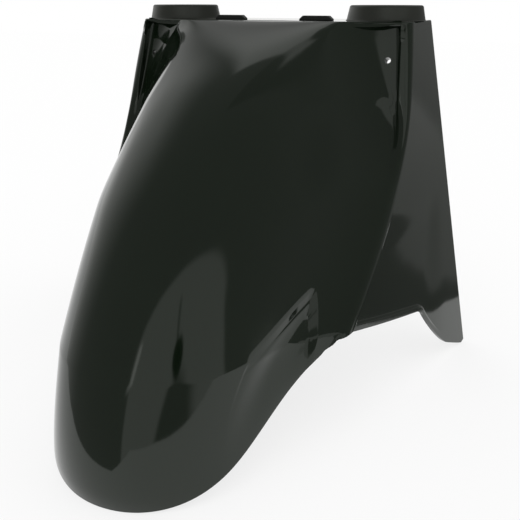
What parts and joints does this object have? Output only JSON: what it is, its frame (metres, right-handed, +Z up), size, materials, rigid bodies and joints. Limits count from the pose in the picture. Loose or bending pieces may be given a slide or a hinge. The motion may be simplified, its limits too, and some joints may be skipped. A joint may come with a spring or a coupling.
{
  "type": "motorcycle front mudguard",
  "caption": "Moulded scooter front mudguard: long rounded nose, flared side panels with rear tabs, and a flat deck with raised fork collars.",
  "frame": {"origin": "under the middle of the part's box, on the surface it stands on", "axes": "+Z up along the fork legs, +Y to the rear, +X to the side; the part is symmetric across X"},
  "size_m": [0.3504, 0.318, 0.2908],
  "materials": {
    "gloss_black": "gloss"
  },
  "bodies": {
    "root": {"front_mudguard": "gloss_black"}
  },
  "joints": []
}
